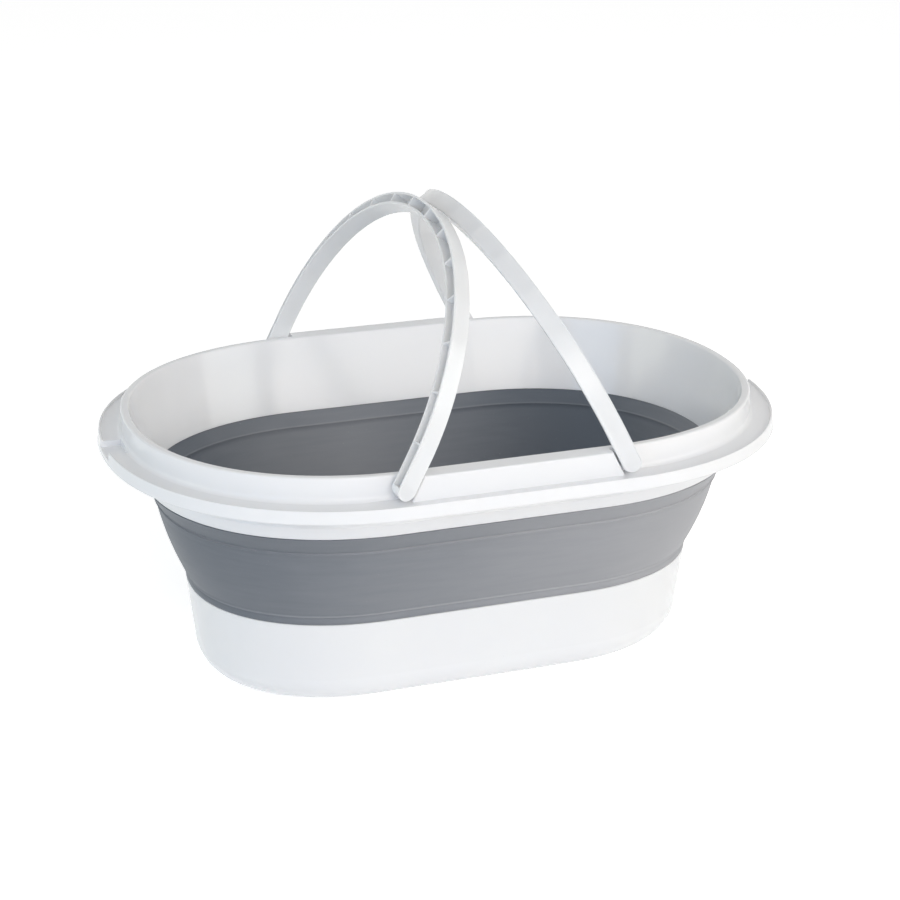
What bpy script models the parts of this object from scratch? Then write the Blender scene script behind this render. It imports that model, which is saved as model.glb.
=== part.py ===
"""A collapsible bucket: a white rim and a white tub joined by a grey folding sleeve, with two arched handles.

Metres, +Z up. The bucket stands open on the floor, centred on the origin, with its length along X.
The rim, the handles and the top of the sleeve slide straight down over the tub when the sleeve folds.
Each handle turns about an axis along Y, from leaning on the other handle to lying on the rim's ledge.
"""

from math import asin, atan2, cos, hypot, pi, sin, tan

import bmesh
import bpy
from mathutils import Matrix, Vector

# The plan outline: straight long sides and rounded ends, the same family at every height
STRAIGHT_HALF_LENGTH = 0.0645
END_FULLNESS = 2.15
QUARTER_STEPS = 15

# Rim flange, the widest outline
FLANGE_HALF_LENGTH = 0.225
FLANGE_HALF_WIDTH = 0.163
SKIRT_HEIGHT = 0.007
SKIRT_DRAFT = 0.0006
LIP_HEIGHT = 0.0013
LIP_WIDTH = 0.0016
LEDGE_WIDTH_AT_END = 0.0154
LEDGE_WIDTH_AT_SIDE = 0.0192
LEDGE_FILLET = 0.0032
EDGE_RADIUS = 0.0015

# Rim collar above the ledge, and the rim wall below it
COLLAR_HEIGHT = 0.0155
COLLAR_TOP_WIDTH = 0.0055
COLLAR_DRAFT = 0.0004
COLLAR_HOLLOW_DEPTH = 0.007
RIM_WALL_HEIGHT = 0.0499
RIM_TAPER_AT_END = 0.0115
RIM_TAPER_AT_SIDE = 0.0158
RIM_WALL = 0.0024

# Joints where the sleeve is moulded over a tongue of the rim and of the tub
JOINT_WALL = 0.0046
JOINT_BAND_HEIGHT = 0.0115
JOINT_BLEND_HEIGHT = 0.003
TONGUE_HEIGHT = 0.004
TONGUE_COVER = 0.0018
SEAM = 0.0003

# Folding sleeve
UPPER_BAND_HEIGHT = 0.0092
BAND_TAPER_AT_END = 0.0045
BAND_TAPER_AT_SIDE = 0.0057
PANEL_HEIGHT = 0.0534
PANEL_TAPER_AT_END = 0.0178
PANEL_TAPER_AT_SIDE = 0.0234
PANEL_BULGE = 0.0022
PANEL_STEPS = 5
LOWER_BAND_HEIGHT = 0.0052
SLEEVE_WALL = 0.0026
HINGE_WALL = 0.0012
HINGE_FLANK = 0.0014

# Tub
TUB_HEIGHT = 0.0621
TUB_TAPER_AT_END = 0.0065
TUB_TAPER_AT_SIDE = 0.013
TUB_WALL = 0.0024
TUB_BOTTOM_RADIUS = 0.0205
TUB_RADIUS_STEPS = 5
LOWER_TONGUE_HEIGHT = 0.003
FOOT_RING_WIDTH = 0.008
FOOT_RECESS = 0.002

# Handles
HANDLE_STRAP_WIDTH = 0.0124
HANDLE_THICKNESS = 0.009
HANDLE_SLANT = 0.0019
HANDLE_SIDE_CLEARANCE = 0.0006
HANDLE_END_MARGIN = 0.003
HANDLE_STRAIGHT = 0.0185
HANDLE_FULLNESS = 2.04
HANDLE_ARCH_STEPS = 20
HANDLE_WEB = 0.0022
HANDLE_FLANGE = 0.0015
HANDLE_EDGE_RADIUS = 0.0011
HANDLE_REST_GAP = 0.0003
HANDLE_RIB = 0.0013
HANDLE_RIB_PITCH = 0.0325
FOOT_END_ANGLE = 1.45
FOOT_STEPS = 6
FOOT_WALL_RAMP = 0.001
PIVOT_HALF_SPACING = 0.0724
STUD_RADIUS = 0.003
STUD_LENGTH = 0.0046
STUD_CLEARANCE = 0.0003
SOCKET_BOSS_WALL = 0.0026
ROUND_STEPS = 24

# Blocks between the handles, which fill the collar out to near the handles' outer face
BLOCK_SETBACK = 0.0014
BLOCK_END_GAP = 0.0007
BLOCK_EDGE_RADIUS = 0.0012

# Finger notch under the end of each folded handle, and the ribs under the flange
NOTCH_WIDTH = 0.026
NOTCH_DEPTH = 0.0038
NOTCH_SETBACK = 0.001
RIB_THICKNESS = 0.0016
RIB_WALL_HEIGHT = 0.012
RIB_SKIRT_SETBACK = 0.001
RIB_ANGLE_SHARES = (0.2, 0.4, 0.6, 0.8)

# One overrun for everything that is cut through, and the angle from which an edge shows as sharp
OVERRUN = 0.001
SHARP_ANGLE = 0.6

# Heights, from the floor up
TUB_TOP_Z = TUB_HEIGHT
LOWER_HINGE_Z = TUB_TOP_Z + LOWER_BAND_HEIGHT
UPPER_HINGE_Z = LOWER_HINGE_Z + PANEL_HEIGHT
RIM_BOTTOM_Z = UPPER_HINGE_Z + UPPER_BAND_HEIGHT
RIM_TONGUE_TOP_Z = RIM_BOTTOM_Z + TONGUE_HEIGHT
RIM_TOP_Z = RIM_BOTTOM_Z + RIM_WALL_HEIGHT
LEDGE_Z = RIM_TOP_Z - COLLAR_HEIGHT
SKIRT_BOTTOM_Z = LEDGE_Z - SKIRT_HEIGHT
COLLAR_HOLLOW_Z = LEDGE_Z + COLLAR_HOLLOW_DEPTH
HANDLE_SLOPE = HANDLE_SLANT / HANDLE_STRAP_WIDTH
PIVOT_Z = LEDGE_Z + HANDLE_STRAP_WIDTH / 2 + HANDLE_SLOPE * HANDLE_THICKNESS + HANDLE_REST_GAP


def inset(outline, at_end, at_side=None):
    """An outline drawn in by one distance all round, or by one at its ends and one at its sides."""
    at_side = at_end if at_side is None else at_side
    return outline[0] - at_end, outline[1] - at_side


# Outlines as (half length, half width), from the widest in
FLANGE = (FLANGE_HALF_LENGTH, FLANGE_HALF_WIDTH)
COLLAR = inset(FLANGE, LEDGE_WIDTH_AT_END, LEDGE_WIDTH_AT_SIDE)
RIM_INSIDE_TOP = inset(COLLAR, COLLAR_TOP_WIDTH)
RIM_INSIDE_BOTTOM = inset(RIM_INSIDE_TOP, RIM_TAPER_AT_END, RIM_TAPER_AT_SIDE)
UPPER_HINGE_INSIDE = inset(RIM_INSIDE_BOTTOM, BAND_TAPER_AT_END, BAND_TAPER_AT_SIDE)
UPPER_HINGE = inset(UPPER_HINGE_INSIDE, -SLEEVE_WALL)
LOWER_HINGE = inset(UPPER_HINGE, PANEL_TAPER_AT_END, PANEL_TAPER_AT_SIDE)
TUB_TOP = LOWER_HINGE
TUB_BOTTOM = inset(TUB_TOP, TUB_TAPER_AT_END, TUB_TAPER_AT_SIDE)

# The handle in its own plane: where its inner and outer faces are widest, its reach, and the blocks' faces
HANDLE_INNER_HALF_WIDTH = COLLAR[1] + COLLAR_DRAFT + HANDLE_SIDE_CLEARANCE
HANDLE_HALF_WIDTH = HANDLE_INNER_HALF_WIDTH + HANDLE_SLANT + HANDLE_THICKNESS
HANDLE_REACH = FLANGE_HALF_LENGTH - HANDLE_END_MARGIN - PIVOT_HALF_SPACING
BLOCK_HALF_WIDTH = HANDLE_HALF_WIDTH - HANDLE_SLANT - BLOCK_SETBACK


def handle_lean():
    """The angle from upright at which the outer corners of the two handles' crowns meet over the middle."""
    half_strap = HANDLE_STRAP_WIDTH / 2
    crown = HANDLE_REACH - HANDLE_SLANT
    corner = hypot(crown, half_strap)
    return asin((PIVOT_HALF_SPACING - HANDLE_REST_GAP / 2) / corner) - atan2(half_strap, crown)


def between(start, end, share):
    """The outline that lies the given share of the way from one outline to another."""
    return tuple(a + (b - a) * share for a, b in zip(start, end))


def rim_inside(z):
    """The rim wall's inner outline at a height."""
    return between(RIM_INSIDE_BOTTOM, RIM_INSIDE_TOP, (z - RIM_BOTTOM_Z) / RIM_WALL_HEIGHT)


def tub_outside(z):
    """The tub wall's outer outline at a height."""
    return between(TUB_BOTTOM, TUB_TOP, z / TUB_HEIGHT)


def end_curve(half_length, half_width, straight, fullness, angle):
    """A point on a rounded end in plan, from its nose at 0 to where the straight side starts at pi / 2."""
    along = abs(cos(angle)) ** (2 / fullness)
    across = abs(sin(angle)) ** (2 / fullness)
    return straight + (half_length - straight) * along, half_width * across


def ring(outline, z):
    """Points once round the plan outline at a height."""
    points = []
    for quarter in range(4):
        for step in range(QUARTER_STEPS):
            turn = step / QUARTER_STEPS * pi / 2
            angle = turn if quarter % 2 == 0 else pi / 2 - turn
            x, y = end_curve(*outline, STRAIGHT_HALF_LENGTH, END_FULLNESS, angle)
            points.append(Vector((x if quarter in (0, 3) else -x, y if quarter < 2 else -y, z)))
    return points


def arc(outline, z, radius, start, end, steps):
    """Levels along an arc in the wall's cross-section, about a centre on the given outline and height."""
    levels = []
    for step in range(steps + 1):
        angle = start + (end - start) * step / steps
        levels.append((inset(outline, -radius * cos(angle)), z + radius * sin(angle)))
    return levels


def new_object(name, mesh, material=None, parent=None):
    obj = bpy.data.objects.new(name, mesh)
    bpy.context.scene.collection.objects.link(obj)
    obj.parent = parent
    if material:
        mesh.materials.append(material)
    return obj


def finish_mesh(name, bm):
    """Turns a bmesh into a mesh of outward triangles, shaded smooth with its real edges kept sharp."""
    bmesh.ops.triangulate(bm, faces=bm.faces)
    bmesh.ops.recalc_face_normals(bm, faces=bm.faces)
    mesh = bpy.data.meshes.new(name)
    bm.to_mesh(mesh)
    bm.free()
    mesh.shade_smooth()
    mesh.set_sharp_from_angle(angle=SHARP_ANGLE)
    return mesh


def skin(bm, near, far):
    """Joins two matching closed loops of vertices with a band of faces."""
    for i, corner in enumerate(near):
        j = (i + 1) % len(near)
        bm.faces.new((corner, near[j], far[j], far[i]))


def add_prism(bm, near, far):
    """A solid between two matching closed outlines of points. It returns the far face."""
    near_loop = [bm.verts.new(point) for point in near]
    far_loop = [bm.verts.new(point) for point in far]
    skin(bm, near_loop, far_loop)
    bm.faces.new(near_loop)
    return bm.faces.new(far_loop)


def lofted(name, levels, closed):
    """Skins a cross-section, given as (outline, height) levels, once round the plan outline.

    A closed section makes a ring. An open one is capped at both ends.
    """
    bm = bmesh.new()
    rings = [[bm.verts.new(point) for point in ring(*level)] for level in levels]
    for lower, upper in zip(rings, rings[1:]):
        skin(bm, lower, upper)
    if closed:
        skin(bm, rings[-1], rings[0])
    else:
        bm.faces.new(rings[0])
        bm.faces.new(rings[-1])
    return finish_mesh(name, bm)


def extruded(name, outline, push, bevel=0.0):
    """A prism: a closed outline of points pushed along a vector, with its far edges rounded if asked."""
    bm = bmesh.new()
    cap = add_prism(bm, outline, [Vector(point) + Vector(push) for point in outline])
    bmesh.ops.recalc_face_normals(bm, faces=bm.faces)
    if bevel:
        bmesh.ops.bevel(bm, geom=list(cap.edges), offset=bevel, segments=2, affect="EDGES", profile=0.5)
    return finish_mesh(name, bm)


def box_outline(low_x, high_x, low_y, high_y, z):
    return [(low_x, low_y, z), (high_x, low_y, z), (high_x, high_y, z), (low_x, high_y, z)]


def cross_drum(name, radius, start, end):
    """A round bar along Y between the two given places, centred on X and Z."""
    turns = [2 * pi * step / ROUND_STEPS for step in range(ROUND_STEPS)]
    outline = [(radius * cos(turn), start, radius * sin(turn)) for turn in turns]
    return extruded(name, outline, (0, end - start, 0))


def helper(name, mesh, place=None, parent=None):
    """A hidden object that is only cut from or merged into another."""
    obj = new_object(name, mesh, parent=parent)
    obj.matrix_local = place or Matrix()
    obj.hide_render = True
    obj.display_type = "WIRE"
    return obj


def combine(obj, other, operation):
    modifier = obj.modifiers.new(f"{operation.lower()}_{other.name}", "BOOLEAN")
    modifier.operation = operation
    modifier.solver = "EXACT"
    modifier.object = other


def plastic(name, colour, roughness):
    material = bpy.data.materials.new(name)
    material.use_nodes = True
    shader = material.node_tree.nodes["Principled BSDF"]
    shader.inputs["Base Color"].default_value = (*colour, 1)
    shader.inputs["Roughness"].default_value = roughness
    shader.inputs["Metallic"].default_value = 0
    return material


def clear_scene():
    for obj in list(bpy.data.objects):
        bpy.data.objects.remove(obj, do_unlink=True)


def rim_levels():
    """The rim's cross-section: up the inside, over the collar, ledge, lip and skirt, and back underneath."""
    collar_foot = inset(COLLAR, -COLLAR_DRAFT)
    lip_outside = inset(FLANGE, SKIRT_DRAFT)
    blend_z = RIM_TONGUE_TOP_Z + JOINT_BAND_HEIGHT
    levels = [(RIM_INSIDE_BOTTOM, RIM_BOTTOM_Z)]
    levels += arc(inset(RIM_INSIDE_TOP, -EDGE_RADIUS), RIM_TOP_Z - EDGE_RADIUS, EDGE_RADIUS, pi, pi / 2, 2)
    levels += arc(inset(COLLAR, EDGE_RADIUS), RIM_TOP_Z - EDGE_RADIUS, EDGE_RADIUS, pi / 2, 0, 2)
    levels += arc(inset(collar_foot, -LEDGE_FILLET), LEDGE_Z + LEDGE_FILLET, LEDGE_FILLET, pi, 3 * pi / 2, 3)
    levels.append((inset(lip_outside, LIP_WIDTH), LEDGE_Z))
    lip_round = min(LIP_WIDTH, LIP_HEIGHT) / 2
    levels.append((inset(lip_outside, LIP_WIDTH), LEDGE_Z + LIP_HEIGHT))
    levels += arc(inset(lip_outside, lip_round), LEDGE_Z + LIP_HEIGHT - lip_round, lip_round, pi / 2, 0, 2)
    levels.append((FLANGE, SKIRT_BOTTOM_Z))
    levels.append((inset(FLANGE, RIM_WALL), SKIRT_BOTTOM_Z))
    levels.append((inset(lip_outside, RIM_WALL), LEDGE_Z - RIM_WALL))
    levels.append((inset(collar_foot, RIM_WALL), LEDGE_Z - RIM_WALL))
    levels.append((inset(COLLAR, RIM_WALL), COLLAR_HOLLOW_Z))
    levels.append((inset(rim_inside(COLLAR_HOLLOW_Z), -RIM_WALL), COLLAR_HOLLOW_Z))
    levels.append((inset(rim_inside(blend_z), -RIM_WALL), blend_z))
    blend_end_z = blend_z - JOINT_BLEND_HEIGHT
    levels.append((inset(rim_inside(blend_end_z), -JOINT_WALL), blend_end_z))
    levels.append((inset(rim_inside(RIM_TONGUE_TOP_Z), -JOINT_WALL), RIM_TONGUE_TOP_Z))
    tongue_wall = JOINT_WALL - TONGUE_COVER
    levels.append((inset(rim_inside(RIM_TONGUE_TOP_Z), -tongue_wall), RIM_TONGUE_TOP_Z))
    levels.append((inset(RIM_INSIDE_BOTTOM, -tongue_wall), RIM_BOTTOM_Z))
    return levels


def block_face(wall, bottom_z):
    """The block's face in XZ, or its cavity's within a wall. Its slanted ends lie along the leaning legs."""
    lean = handle_lean()
    stand_off = HANDLE_STRAP_WIDTH / 2 + BLOCK_END_GAP + wall
    top_z = RIM_TOP_Z - wall
    bottom_x, top_x = (
        PIVOT_HALF_SPACING - stand_off / cos(lean) - (z - PIVOT_Z) * tan(lean) for z in (bottom_z, top_z)
    )
    return [(-bottom_x, bottom_z), (bottom_x, bottom_z), (top_x, top_z), (-top_x, top_z)]


def corners():
    """The four places where a handle meets the rim, as the signs of X and Y and a name."""
    for x_side, x_name in ((-1, "left"), (1, "right")):
        for y_side, y_name in ((-1, "front"), (1, "back")):
            yield x_side, y_side, f"{y_name}_{x_name}"


def add_foot_pockets(rim):
    """Flat pockets in the fillet above the ledge, where the inner faces of the handle feet turn."""
    face_y = HANDLE_INNER_HALF_WIDTH - HANDLE_SIDE_CLEARANCE
    outer_y = HANDLE_HALF_WIDTH
    near_x = PIVOT_HALF_SPACING - HANDLE_STRAP_WIDTH
    far_x = PIVOT_HALF_SPACING + HANDLE_STRAIGHT + HANDLE_STRAP_WIDTH / 2
    for x_side, y_side, name in corners():
        outline = box_outline(x_side * near_x, x_side * far_x, y_side * face_y, y_side * outer_y, LEDGE_Z)
        pocket = extruded(f"{name}_pocket", outline, (0, 0, COLLAR_HEIGHT / 2))
        combine(rim, helper(pocket.name, pocket), "DIFFERENCE")


def add_blocks(rim):
    """The two blocks on the collar's long sides, hollow underneath."""
    inner_y = COLLAR[1] - COLLAR_TOP_WIDTH / 2
    cavity_y = RIM_INSIDE_TOP[1] + RIM_WALL
    for side, name in ((-1, "front"), (1, "back")):
        face = [(x, side * inner_y, z) for x, z in block_face(0, LEDGE_Z - RIM_WALL / 2)]
        depth = side * (BLOCK_HALF_WIDTH - inner_y)
        block = extruded(f"{name}_block", face, (0, depth, 0), BLOCK_EDGE_RADIUS)
        combine(rim, helper(block.name, block), "UNION")
        face = [(x, side * cavity_y, z) for x, z in block_face(RIM_WALL, SKIRT_BOTTOM_Z)]
        depth = side * (BLOCK_HALF_WIDTH - RIM_WALL - cavity_y)
        cavity = extruded(f"{name}_block_cavity", face, (0, depth, 0))
        combine(rim, helper(cavity.name, cavity), "DIFFERENCE")


def add_pivot_sockets(rim):
    """A blind round socket for each handle stud, in a boss between the collar's two walls."""
    collar_face_y = HANDLE_INNER_HALF_WIDTH - HANDLE_SIDE_CLEARANCE
    socket_radius = STUD_RADIUS + STUD_CLEARANCE
    boss_radius = socket_radius + SOCKET_BOSS_WALL
    boss_start_y = rim_inside(PIVOT_Z + boss_radius)[1] + RIM_WALL / 2
    boss_end_y = collar_face_y - RIM_WALL / 2
    socket_start_y = HANDLE_INNER_HALF_WIDTH - STUD_LENGTH - STUD_CLEARANCE
    for x_side, y_side, name in corners():
        place = Matrix.Translation((x_side * PIVOT_HALF_SPACING, 0, PIVOT_Z))
        boss = cross_drum(f"{name}_boss", boss_radius, y_side * boss_start_y, y_side * boss_end_y)
        combine(rim, helper(boss.name, boss, place), "UNION")
        socket_end_y = HANDLE_INNER_HALF_WIDTH + OVERRUN
        socket = cross_drum(f"{name}_socket", socket_radius, y_side * socket_start_y, y_side * socket_end_y)
        combine(rim, helper(socket.name, socket, place), "DIFFERENCE")


def add_finger_notches(rim):
    """A stepped-down tray in the ledge at each end, open outwards, to lift a folded handle from."""
    notch_start_x = COLLAR[0] + COLLAR_DRAFT + NOTCH_SETBACK
    tray_start_x = notch_start_x - RIM_WALL
    tray_end_x = FLANGE_HALF_LENGTH - RIM_WALL / 2
    notch_end_x = FLANGE_HALF_LENGTH + OVERRUN
    notch_y = NOTCH_WIDTH / 2
    tray_y = notch_y + RIM_WALL
    notch_z = LEDGE_Z - NOTCH_DEPTH
    tray_depth = NOTCH_DEPTH + RIM_WALL / 2
    notch_height = NOTCH_DEPTH + LEDGE_FILLET + OVERRUN
    for side, name in ((-1, "left"), (1, "right")):
        outline = box_outline(side * tray_start_x, side * tray_end_x, -tray_y, tray_y, notch_z - RIM_WALL)
        tray = extruded(f"{name}_notch_tray", outline, (0, 0, tray_depth))
        combine(rim, helper(tray.name, tray), "UNION")
        outline = box_outline(side * notch_start_x, side * notch_end_x, -notch_y, notch_y, notch_z)
        notch = extruded(f"{name}_notch", outline, (0, 0, notch_height))
        combine(rim, helper(notch.name, notch), "DIFFERENCE")


def add_flange_ribs(rim):
    """Gussets under the rounded ends of the flange, from the rim wall out to the skirt."""
    top_z = LEDGE_Z - RIM_WALL / 2
    skirt_z = SKIRT_BOTTOM_Z + RIB_SKIRT_SETBACK
    wall_z = LEDGE_Z - RIB_WALL_HEIGHT
    skirt = inset(FLANGE, RIM_WALL / 2)
    bm = bmesh.new()
    for x_side, y_side, _ in corners():
        for share in RIB_ANGLE_SHARES:
            angle = share * pi / 2
            profile = []
            for outline, z in (
                (inset(rim_inside(top_z), -RIM_WALL / 2), top_z),
                (skirt, top_z),
                (skirt, skirt_z),
                (inset(rim_inside(wall_z), -RIM_WALL / 2), wall_z),
            ):
                x, y = end_curve(*outline, STRAIGHT_HALF_LENGTH, END_FULLNESS, angle)
                profile.append(Vector((x_side * x, y_side * y, z)))
            outward = (profile[1] - profile[0]).normalized()
            half_rib = outward.cross(Vector((0, 0, 1))) * RIB_THICKNESS / 2
            add_prism(bm, [point - half_rib for point in profile], [point + half_rib for point in profile])
    ribs = finish_mesh("flange_ribs", bm)
    combine(rim, helper(ribs.name, ribs), "UNION")


def make_rim(material, parent):
    rim = new_object("rim_frame", lofted("rim_frame", rim_levels(), closed=True), material, parent)
    add_foot_pockets(rim)
    add_blocks(rim)
    add_pivot_sockets(rim)
    add_finger_notches(rim)
    add_flange_ribs(rim)


def hinge_edge(outside, z):
    """The two levels of a thinned living-hinge edge, centred in the sleeve's wall: outer, then inner."""
    thinning = (SLEEVE_WALL - HINGE_WALL) / 2
    return (inset(outside, thinning), z), (inset(outside, SLEEVE_WALL - thinning), z)


def make_upper_band(material, parent):
    """The top of the sleeve, moulded round the rim's tongue and drawn in to the upper hinge."""
    cover_inside = TONGUE_COVER - JOINT_WALL - SEAM
    top_z = RIM_TONGUE_TOP_Z - SEAM
    tongue_end_z = RIM_BOTTOM_Z - SEAM
    hinge_z = UPPER_HINGE_Z + SEAM / 2
    flank_z = hinge_z + HINGE_FLANK
    flank_share = (flank_z - UPPER_HINGE_Z) / UPPER_BAND_HEIGHT
    inside_flank = between(UPPER_HINGE_INSIDE, RIM_INSIDE_BOTTOM, flank_share)
    outside_top = inset(rim_inside(RIM_TONGUE_TOP_Z), -JOINT_WALL)
    outside_share = (flank_z - UPPER_HINGE_Z) / (RIM_TONGUE_TOP_Z - UPPER_HINGE_Z)
    hinge_outer, hinge_inner = hinge_edge(UPPER_HINGE, hinge_z)
    levels = [
        (outside_top, top_z),
        (between(UPPER_HINGE, outside_top, outside_share), flank_z),
        hinge_outer,
        hinge_inner,
        (inside_flank, flank_z),
        (RIM_INSIDE_BOTTOM, tongue_end_z),
        (inset(RIM_INSIDE_BOTTOM, cover_inside), tongue_end_z),
        (inset(rim_inside(RIM_TONGUE_TOP_Z), cover_inside), top_z),
    ]
    new_object("sleeve_upper_band", lofted("sleeve_upper_band", levels, closed=True), material, parent)


def panel_outside(share):
    """The fold panel's crowned outer outline and height, from its lower hinge at 0 to its upper at 1."""
    low_z = LOWER_HINGE_Z + SEAM / 2
    height = PANEL_HEIGHT - SEAM
    crown = 4 * PANEL_BULGE * share * (1 - share)
    return inset(between(LOWER_HINGE, UPPER_HINGE, share), -crown), low_z + height * share


def make_fold_panel(material, parent):
    """The wide panel between the two hinges, which turns inside out as the bucket folds."""
    flank_share = HINGE_FLANK / PANEL_HEIGHT
    shares = [flank_share + (1 - 2 * flank_share) * step / PANEL_STEPS for step in range(PANEL_STEPS + 1)]
    low_outer, low_inner = hinge_edge(*panel_outside(0))
    high_outer, high_inner = hinge_edge(*panel_outside(1))
    outside = [panel_outside(share) for share in shares]
    inside = [(inset(outline, SLEEVE_WALL), z) for outline, z in reversed(outside)]
    levels = [low_outer, *outside, high_outer, high_inner, *inside, low_inner]
    new_object("sleeve_fold_panel", lofted("sleeve_fold_panel", levels, closed=True), material, parent)


def make_lower_band(material):
    """The foot of the sleeve, moulded round the tub's tongue below the lower hinge."""
    cover_inside = TONGUE_COVER - SEAM
    foot_z = TUB_TOP_Z + SEAM
    tongue_end_z = TUB_TOP_Z + LOWER_TONGUE_HEIGHT + SEAM
    hinge_z = LOWER_HINGE_Z - SEAM / 2
    flank_z = hinge_z - HINGE_FLANK
    hinge_outer, hinge_inner = hinge_edge(LOWER_HINGE, hinge_z)
    levels = [
        (TUB_TOP, foot_z),
        (LOWER_HINGE, flank_z),
        hinge_outer,
        hinge_inner,
        (inset(LOWER_HINGE, SLEEVE_WALL), flank_z),
        (inset(TUB_TOP, JOINT_WALL), tongue_end_z),
        (inset(TUB_TOP, cover_inside), tongue_end_z),
        (inset(TUB_TOP, cover_inside), foot_z),
    ]
    new_object("sleeve_lower_band", lofted("sleeve_lower_band", levels, closed=True), material)


def tub_levels():
    """The tub's wall: underside, foot ring, rounded bottom edge, outside, tongue, inside and floor."""
    edge_centre = inset(tub_outside(TUB_BOTTOM_RADIUS), TUB_BOTTOM_RADIUS)
    ring_inside = inset(edge_centre, FOOT_RING_WIDTH)
    recess = inset(ring_inside, FOOT_RECESS)
    tongue_z = TUB_TOP_Z + LOWER_TONGUE_HEIGHT
    blend_z = TUB_TOP_Z - JOINT_BLEND_HEIGHT
    blend_end_z = blend_z - JOINT_BLEND_HEIGHT
    inner_radius = TUB_BOTTOM_RADIUS - TUB_WALL
    levels = [(recess, FOOT_RECESS), (ring_inside, 0)]
    levels += arc(edge_centre, TUB_BOTTOM_RADIUS, TUB_BOTTOM_RADIUS, -pi / 2, 0, TUB_RADIUS_STEPS)
    levels += [(TUB_TOP, TUB_TOP_Z), (inset(TUB_TOP, TONGUE_COVER), TUB_TOP_Z)]
    levels += [(inset(TUB_TOP, TONGUE_COVER), tongue_z), (inset(TUB_TOP, JOINT_WALL), tongue_z)]
    levels += [(inset(tub_outside(blend_z), JOINT_WALL), blend_z)]
    levels += [(inset(tub_outside(blend_end_z), TUB_WALL), blend_end_z)]
    levels += arc(edge_centre, TUB_BOTTOM_RADIUS, inner_radius, 0, -pi / 2, TUB_RADIUS_STEPS)
    levels += [(ring_inside, TUB_WALL), (recess, TUB_WALL + FOOT_RECESS)]
    return levels


def make_tub(material):
    new_object("base_tub", lofted("base_tub", tub_levels(), closed=False), material)


def strap_path(foot_heights):
    """The handle's outer face in its own plane, from the given heights up one foot to those of the other."""
    rising = [(-HANDLE_HALF_WIDTH, up) for up in foot_heights]
    for step in range(HANDLE_ARCH_STEPS + 1):
        angle = (1 - step / HANDLE_ARCH_STEPS) * pi / 2
        up, across = end_curve(HANDLE_REACH, HANDLE_HALF_WIDTH, HANDLE_STRAIGHT, HANDLE_FULLNESS, angle)
        rising.append((-across, up))
    falling = [(-across, up) for across, up in reversed(rising[:-1])]
    return [Vector((0, across, up)) for across, up in rising + falling]


def stations_of(path, sections):
    """The path's points as (distance along it, point, unit vector towards the inside, section there)."""
    stations = []
    distance = 0
    for i, (point, section) in enumerate(zip(path, sections)):
        before = path[max(i - 1, 0)]
        ahead = path[min(i + 1, len(path) - 1)] - before
        distance += (point - before).length
        stations.append((distance, point, Vector((0, ahead.z, -ahead.y)).normalized(), section))
    return stations


def station_at(stations, distance):
    """The place on the path at a distance along it, between two of its stations."""
    for near, far in zip(stations, stations[1:]):
        if distance <= far[0]:
            share = (distance - near[0]) / (far[0] - near[0])
            return distance, near[1].lerp(far[1], share), near[2].lerp(far[2], share), near[3]


def add_sweep(bm, stations):
    """A closed solid through the stations, whose sections hold (depth below the path, place across it)."""
    rings = []
    for _, point, inward, section in stations:
        places = [point + inward * depth + Vector((across, 0, 0)) for depth, across in section]
        rings.append([bm.verts.new(place) for place in places])
    for near, far in zip(rings, rings[1:]):
        skin(bm, near, far)
    bm.faces.new(rings[0])
    bm.faces.new(rings[-1])


def both_feet(foot, middle, count):
    """The sections of a path of so many points, from those of one foot to the same ones at the other."""
    return foot + [middle] * (count - 2 * len(foot)) + foot[::-1]


def foot_turns():
    """Angles round the pivot, from near the bottom of a foot up to level with the pivot."""
    return [FOOT_END_ANGLE * (1 - step / FOOT_STEPS) for step in range(FOOT_STEPS + 1)]


def slanted(section, share=1):
    """A section of the strap, (depth, place across), turned a little, and as narrow as the given share."""
    edge = -HANDLE_STRAP_WIDTH / 2
    return [
        (depth + HANDLE_SLOPE * (across * share - edge), (across - HANDLE_SLOPE * depth) * share)
        for depth, across in section
    ]


def strap_hull():
    """The whole strap before it is hollowed, with both feet rounded about the pivot."""
    half = HANDLE_STRAP_WIDTH / 2
    section = [(0, -half)]
    for depth, start in ((HANDLE_EDGE_RADIUS, pi), (HANDLE_THICKNESS - HANDLE_EDGE_RADIUS, pi / 2)):
        for step in range(3):
            angle = start - step * pi / 4
            across = half - HANDLE_EDGE_RADIUS + HANDLE_EDGE_RADIUS * sin(angle)
            section.append((depth + HANDLE_EDGE_RADIUS * cos(angle), across))
    section.append((HANDLE_THICKNESS, -half))
    path = strap_path([-half * sin(turn) for turn in foot_turns()])
    foot = [slanted(section, cos(turn)) for turn in foot_turns()]
    bm = bmesh.new()
    add_sweep(bm, stations_of(path, both_feet(foot, slanted(section), len(path))))
    return finish_mesh("handle_strap", bm)


def pocket_section(open_side, web_side, share=1):
    deep = HANDLE_THICKNESS - HANDLE_FLANGE
    outline = ((HANDLE_FLANGE, open_side), (HANDLE_FLANGE, web_side), (deep, web_side), (deep, open_side))
    return slanted(outline, share)


def pocket_stations():
    """The channel's run: round inside one foot's end wall, open sideways over the arch, and round again."""
    web_side = HANDLE_STRAP_WIDTH / 2 - HANDLE_WEB
    section = pocket_section(-HANDLE_STRAP_WIDTH / 2 - OVERRUN, web_side)
    heights = [-web_side * sin(turn) for turn in foot_turns()] + [FOOT_WALL_RAMP]
    path = strap_path(heights)
    foot = [pocket_section(-web_side, web_side, cos(turn)) for turn in foot_turns()]
    return stations_of(path, both_feet(foot + [section], section, len(path)))


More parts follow.
